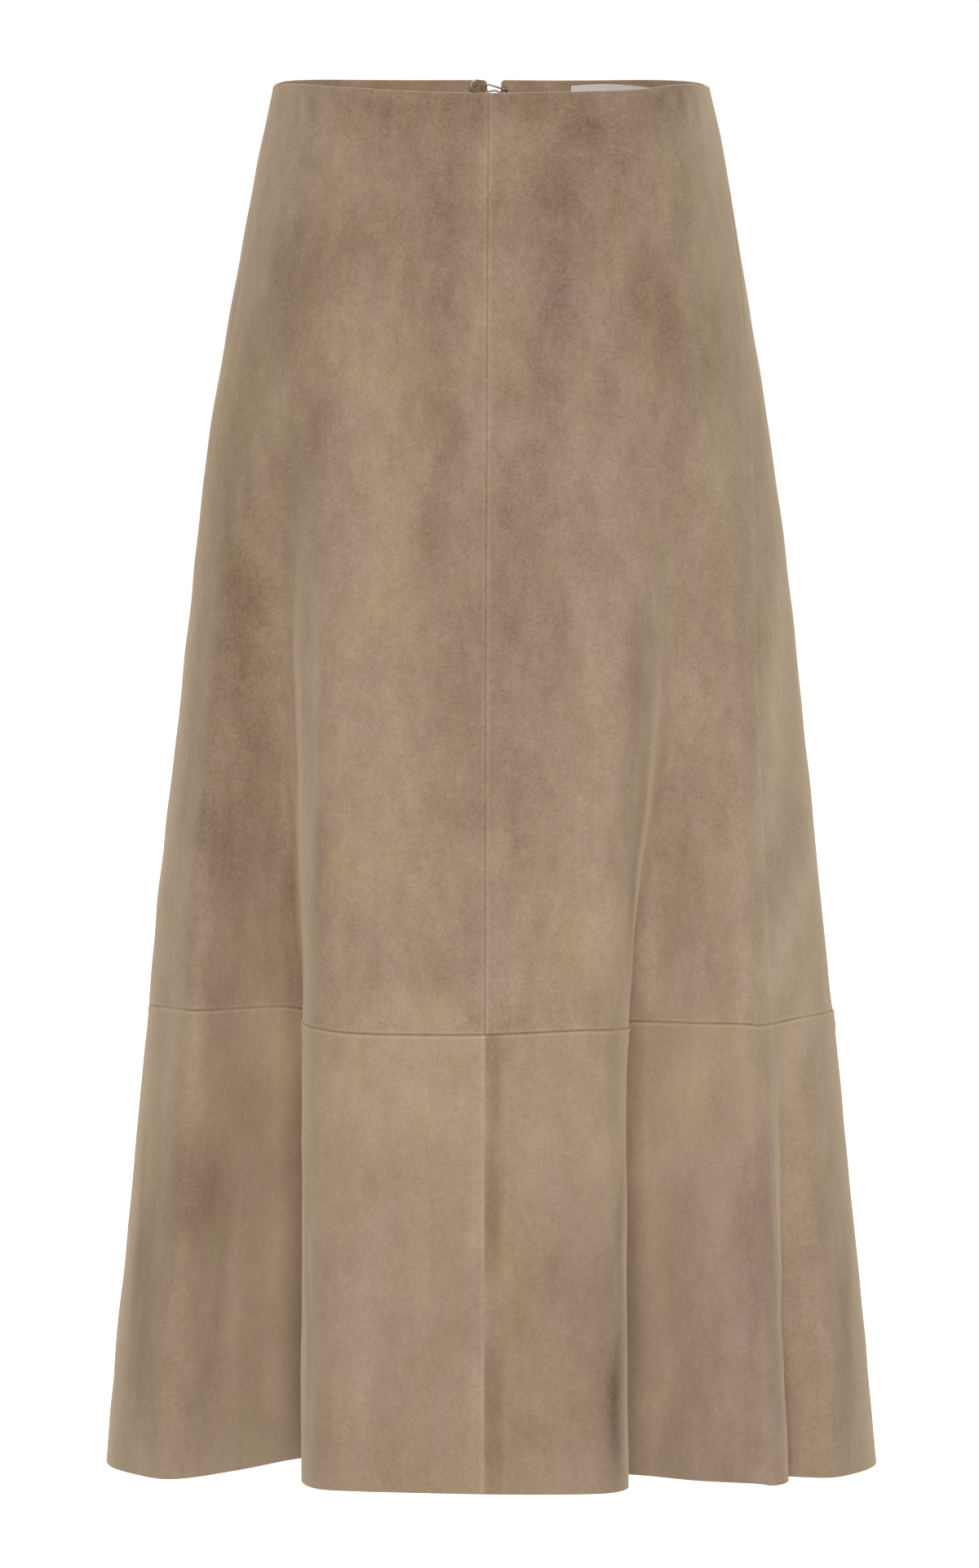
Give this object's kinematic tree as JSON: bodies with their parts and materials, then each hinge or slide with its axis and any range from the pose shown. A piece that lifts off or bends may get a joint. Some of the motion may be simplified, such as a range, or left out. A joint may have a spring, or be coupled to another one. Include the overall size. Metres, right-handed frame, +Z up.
{
  "type": "gored suede midi skirt",
  "caption": "Flared suede midi skirt of gored panels with a horizontal seam near the hem, deep soft folds, a back zip and a hook and bar at the waist.",
  "frame": {"origin": "middle of the waist opening, level with the waist edge at the sides", "axes": "+Z up along the skirt, the front faces -Y and the wearer's right side is at -X"},
  "size_m": [0.4635, 0.263, 0.8376],
  "materials": {
    "suede": "brushed suede, matt, taupe",
    "patch_suede": "brushed suede, matt, brown",
    "label_satin": "woven satin tape, blank, cream",
    "zip_tape": "woven tape, taupe",
    "zip_coil": "moulded polyester coil, taupe",
    "zip_metal": "stoved enamel on zinc, taupe",
    "hook_metal": "nickel-plated brass wire"
  },
  "bodies": {
    "skirt": {"front_upper_right": "suede", "front_upper_left": "suede", "front_lower_right": "suede", "front_lower_left": "suede", "back_upper_right": "suede", "back_upper_left": "suede", "back_lower_right": "suede", "back_lower_left": "suede", "label": "label_satin", "zip_tape_right": "zip_tape", "zip_tape_left": "zip_tape", "zip_chain": "zip_coil", "zip_slider": "zip_metal", "hook_base": "hook_metal", "hook_patch": "patch_suede", "hook": "hook_metal", "eye_bar": "hook_metal"},
    "zip_pull": {"zip_pull": "zip_metal"}
  },
  "joints": [
    {"name": "zip_pull_swing", "type": "hinge", "parent": "skirt", "child": "zip_pull", "pos_m": [0.00201, 0.09496, -0.00977], "axis": [1, 0.0068, -0.0034], "range_deg": [0, 150]}
  ]
}
